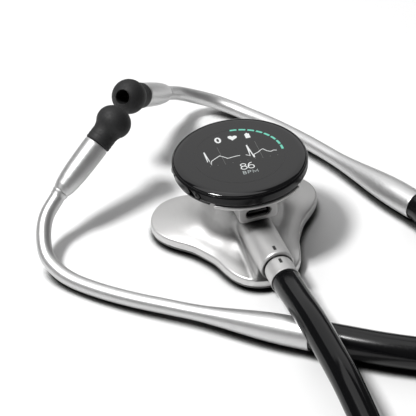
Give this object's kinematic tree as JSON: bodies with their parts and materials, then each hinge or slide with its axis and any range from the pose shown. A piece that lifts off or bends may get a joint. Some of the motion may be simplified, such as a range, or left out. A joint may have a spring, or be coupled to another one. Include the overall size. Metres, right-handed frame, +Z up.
{
  "type": "digital stethoscope",
  "caption": "Digital stethoscope: three-lobed chestpiece with a round display head, a detachable glossy tube, sprung branch tubes, metal ear tubes and soft ear tips.",
  "frame": {"origin": "middle of the chestpiece's contact face, where the diaphragm touches the skin", "axes": "+Z up through the display head; -Y along the outlet barrel toward the tube"},
  "size_m": [0.2103, 0.3323, 0.0425],
  "materials": {
    "satin_metal": "satin, bead blasted",
    "ear_tube_metal": "satin",
    "bright_metal": "polished",
    "contact_metal": "smooth",
    "black_plate": "matte",
    "grey_trim": "matte",
    "black_housing": "matte",
    "black_button": "semi-gloss",
    "black_seal": "matte",
    "lens_glass": "polished",
    "display": "lit display",
    "board": "solder mask",
    "cell": "sleeved",
    "flex": "smooth",
    "diaphragm_film": "satin",
    "mic": "plated",
    "tubing": "glossy",
    "spring_steel": "ground",
    "silicone": "soft matte"
  },
  "bodies": {
    "chestpiece": {"base_plate": "black_plate", "trim_ring": "grey_trim", "base_seal": "black_seal", "base_shell": "satin_metal", "head_saddle": "satin_metal", "head_housing": "black_housing", "lens_gasket": "black_seal", "display_panel": "display", "display_lens": "lens_glass", "main_board": "board", "battery": "cell", "speaker": "black_plate", "flex_cable": "flex", "display_board": "board", "port_shell": "bright_metal", "port_tongue": "black_plate", "rim_switches": "contact_metal", "electrodes": "contact_metal", "diaphragm": "diaphragm_film", "diaphragm_ring": "black_plate", "microphone": "mic", "base_screws": "contact_metal", "head_screws": "contact_metal", "outlet_socket": "black_plate", "barrel_mark": "grey_trim"},
    "power_button": {"power_button": "black_button"},
    "volume_rocker": {"volume_rocker": "black_button"},
    "headset": {"tube_sleeve": "satin_metal", "sleeve_mark": "grey_trim", "plug_stem": "bright_metal", "plug_o_ring": "black_seal", "main_tube": "tubing", "yoke": "tubing", "yoke_spring": "spring_steel"},
    "left_branch": {"left_branch_tube": "tubing"},
    "left_ear": {"left_ear_tube": "ear_tube_metal", "left_ferrule": "ear_tube_metal", "left_nozzle": "contact_metal"},
    "left_tip": {"left_ear_tip": "silicone"},
    "right_branch": {"right_branch_tube": "tubing"},
    "right_ear": {"right_ear_tube": "ear_tube_metal", "right_ferrule": "ear_tube_metal", "right_nozzle": "contact_metal"},
    "right_tip": {"right_ear_tip": "silicone"}
  },
  "joints": [
    {"name": "tube_unplug", "type": "slide", "parent": "chestpiece", "child": "headset", "axis": [0, -1, 0], "range_m": [0, 0.016]},
    {"name": "power_button_press", "type": "slide", "parent": "chestpiece", "child": "power_button", "axis": [-1, 0, 0], "range_m": [0, 0.0004], "stiffness_N_per_m": 400},
    {"name": "volume_rocker_tilt", "type": "hinge", "parent": "chestpiece", "child": "volume_rocker", "pos_m": [-0.02308, -0.00491, 0.03285], "axis": [0, 0, 1], "range_deg": [-1.5, 1.5], "stiffness_Nm_per_rad": 0.05},
    {"name": "left_swing", "type": "hinge", "parent": "headset", "child": "left_branch", "pos_m": [0.09524, -0.12751, 0.006], "axis": [0, 0, 1], "range_deg": [0, 15], "stiffness_Nm_per_rad": 0.6, "springref_deg": -5.73},
    {"name": "left_ear_turn", "type": "hinge", "parent": "left_branch", "child": "left_ear", "pos_m": [0.00181, -0.06664, 0.0054], "axis": [0.7692, -0.6384, 0.027], "range_deg": [-3, 30]},
    {"name": "left_tip_spin", "type": "hinge", "parent": "left_ear", "child": "left_tip", "pos_m": [-0.04396, 0.03295, 0.0305], "axis": [0.7693, 0.364, 0.525], "continuous": true},
    {"name": "right_swing", "type": "hinge", "parent": "headset", "child": "right_branch", "pos_m": [0.10534, -0.11932, 0.006], "axis": [0, 0, -1], "range_deg": [0, 15], "stiffness_Nm_per_rad": 0.6, "springref_deg": -5.73},
    {"name": "right_ear_turn", "type": "hinge", "parent": "right_branch", "child": "right_ear", "pos_m": [0.06217, -0.0139, 0.0054], "axis": [-0.3706, 0.9284, -0.027], "range_deg": [-3, 30]},
    {"name": "right_tip_spin", "type": "hinge", "parent": "right_ear", "child": "right_tip", "pos_m": [-0.01931, 0.05996, 0.02883], "axis": [-0.5994, -0.6268, 0.4978], "continuous": true}
  ]
}
